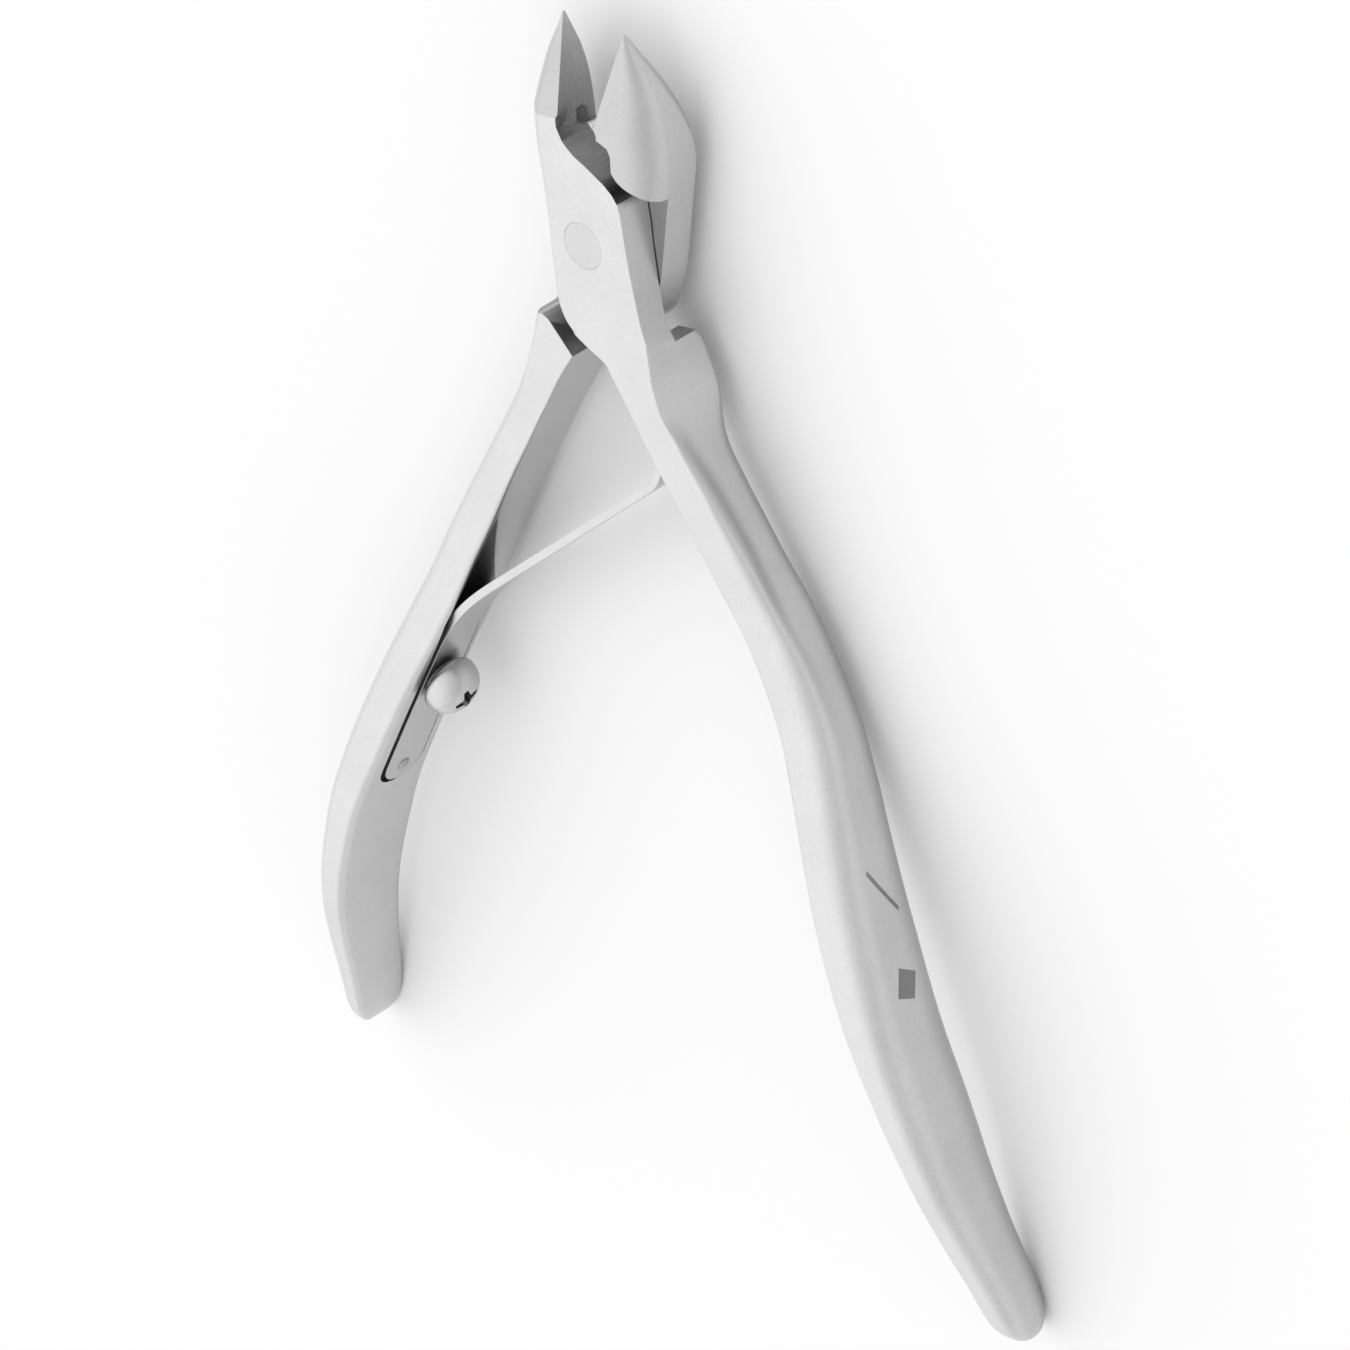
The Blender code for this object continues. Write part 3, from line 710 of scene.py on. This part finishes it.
mark_work = bmesh.new()
bar = ((-44.95, 0.61), (-48.3, 0.29), (-48.55, 0.31), (-45.2, 0.63))
block = ((-52.1, 0.49), (-52.9, 0.29), (-54.6, 0.39), (-54.0, 0.59))
for a, b, c, d in (bar, block):
    rows = []
    for i in range(17):
        row = []
        for j in range(9):
            u, v = i / 16, j / 8
            weights = ((1 - u) * (1 - v), u * (1 - v), u * v, (1 - u) * v)
            y, share = (sum(w * p[k] for w, p in zip(weights, (a, b, c, d))) for k in (0, 1))
            x, z = side_point(y * MM, share)
            row.append(mark_work.verts.new((x + MARK_PROUD, y * MM, z)))
        rows.append(row)
    for upper, lower in zip(rows, rows[1:]):
        for j in range(8):
            mark_work.faces.new((upper[j], upper[j + 1], lower[j + 1], lower[j]))
mark = new_object("etched_bar", mesh_from(mark_work, "etched_bar", etched))
settle(mark, OPEN_HALF_ANGLE, None, "front")

# ---------------------------------------------------------------- spring screw
# A turned steel screw with a high domed head and a punched cross recess. It clamps the leaf in its
# seat, and its shank goes into the rear grip.
HEAD_RADIUS = 2.25 * MM
HEAD_MIDDLE = 0.75 * MM
HEAD_TOP = 2.7 * MM
SHANK_RADIUS = 1.0 * MM
SHANK_END = -2.4 * MM
NECK_TOP = 0.05 * MM
# The screw's sides are painted a shade darker by facing.
polished = steel("polished_screw", 0.58, 0.66, 0.34, grain_size=0.3, edge=0.05, flank_painted_shade=0.75)
dome = []
for i in range(25):
    angle = math.radians(90 * i / 24)
    rise = 1.95 * MM * math.sin(angle)
    dome.append((HEAD_RADIUS * math.cos(angle) ** 0.72, HEAD_MIDDLE + rise))
dome[-1] = (0, HEAD_TOP)
under = []
for i in range(5):
    angle = math.radians(-75 + 15 * i)
    under.append((HEAD_RADIUS * math.cos(angle) ** 0.6, HEAD_MIDDLE + 0.7 * MM * math.sin(angle)))
shank = [(0, SHANK_END), (SHANK_RADIUS, SHANK_END), (SHANK_RADIUS, NECK_TOP), (1.5 * MM, NECK_TOP)]
screw = new_object("screw_head", turned("screw", [*shank, *under, *dome], 96, polished))
arm = [
    (-1.15, -0.2), (-0.35, -0.34), (0.35, -0.34), (1.15, -0.2),
    (1.15, 0.2), (0.35, 0.34), (-0.35, 0.34), (-1.15, 0.2),
]
arm_foot = [(x * 0.45, y * 0.8) for x, y in arm]
# The cross recess is cut with the throat's dark painted shade.
for quarter in (20, 110):
    slot = prism("arm", [(1.25 * MM, arm_foot), (2.95 * MM, arm)], milled_shade_paint)
    cut(screw, slot, "arm", Matrix.Rotation(math.radians(quarter), 4, "Z"))
screw.matrix_world = screw_at
settle(screw, -OPEN_HALF_ANGLE, "spring_screw", "rear", 40)

# ---------------------------------------------------------------- locating peg
# A short hardened pin driven into the rear grip through the leaf's lower end. It stops the leaf
# turning round the screw.
peg_steel = steel("peg_steel", 0.4, 0.5, 0.35, grain_size=0.15, edge=0.04)
peg_profile = [
    (0, -1.6 * MM), (0.5 * MM, -1.6 * MM), (0.5 * MM, 0.02 * MM),
    (0.42 * MM, 0.1 * MM), (0.2 * MM, 0.15 * MM), (0, 0.16 * MM),
]
peg = new_object("drive_peg", turned("peg", peg_profile, 48, peg_steel))
peg.matrix_world = peg_at
settle(peg, -OPEN_HALF_ANGLE, "spring_peg", "rear", 40)

# ---------------------------------------------------------------- rivet
# A plain steel rivet through both laps, on which the levers turn. Both its ends are ground flush,
# so that only a faint ring shows.
RIVET_RADIUS = 1.712 * MM
RIVET_END_RADIUS = 1.70 * MM
rivet_steel = steel("rivet_steel", 0.58, 0.64, 0.36, grain_size=0.2, edge=0.01)
end = 2.745 * MM
shoulder = end - 0.01 * MM
rivet_profile = [
    (0, -end), (RIVET_END_RADIUS, -end), (RIVET_RADIUS, -shoulder),
    (RIVET_RADIUS, shoulder), (RIVET_END_RADIUS, end), (0, end),
]
rivet = new_object("rivet", turned("rivet", rivet_profile, 96, rivet_steel))
settle(rivet, 0, "pivot_pin", "front")

# ---------------------------------------------------------------- floor, light and camera
# A sheet of white paper under the tool, in the even light of a white room. The light is a little
# stronger from above and the left, and the camera stands high on the right.
FLOOR_SIDE = 1.5
FLOOR_Z = -1.56 * MM
floor_mesh = bpy.data.meshes.new("floor")
square = ((-1, -1), (1, -1), (1, 1), (-1, 1))
floor_mesh.from_pydata([(x * FLOOR_SIDE, y * FLOOR_SIDE, 0) for x, y in square], [], [(0, 1, 2, 3)])
floor = new_object("floor", floor_mesh)
floor.location.z = FLOOR_Z
paper = bpy.data.materials.new("white_paper")
paper.use_nodes = True
paper_shader = paper.node_tree.nodes["Principled BSDF"]
paper_shader.inputs["Base Color"].default_value = (0.9, 0.9, 0.9, 1)
paper_shader.inputs["Roughness"].default_value = 0.9
paper_shader.inputs["Specular IOR Level"].default_value = 0.1
floor_mesh.materials.append(paper)

world = bpy.data.worlds.new("studio")
bpy.context.scene.world = world
world.use_nodes = True
nodes, links = world.node_tree.nodes, world.node_tree.links
background = nodes["Background"]
background.inputs["Color"].default_value = (1, 1, 1, 1)
toward = nodes.new("ShaderNodeTexCoord")
dot = nodes.new("ShaderNodeVectorMath")
dot.operation = "DOT_PRODUCT"
dot.inputs[1].default_value = (-0.55, -0.10, 0.83)
links.new(toward.outputs["Generated"], dot.inputs[0])
glow = nodes.new("ShaderNodeMapRange")
glow.interpolation_type = "SMOOTHSTEP"
glow.inputs["From Min"].default_value = -0.3
glow.inputs["From Max"].default_value = 0.95
glow.inputs["To Min"].default_value = 0.78
glow.inputs["To Max"].default_value = 1.24
links.new(dot.outputs["Value"], glow.inputs["Value"])
links.new(glow.outputs["Result"], background.inputs["Strength"])

lens = bpy.data.cameras.new("camera")
lens.lens = 269.52
lens.sensor_width = 36
lens.clip_start = 0.05
camera = bpy.data.objects.new("camera", lens)
bpy.context.scene.collection.objects.link(camera)
right = Vector((0.730703, -0.050098, -0.680855))
up = Vector((-0.331577, 0.845732, -0.418084))
place = Matrix((right, up, right.cross(up))).transposed().to_4x4()
place.translation = Vector((0.421604, 0.337891, 0.423952))
camera.matrix_world = place
bpy.context.scene.camera = camera
bpy.context.scene.view_settings.view_transform = "Standard"
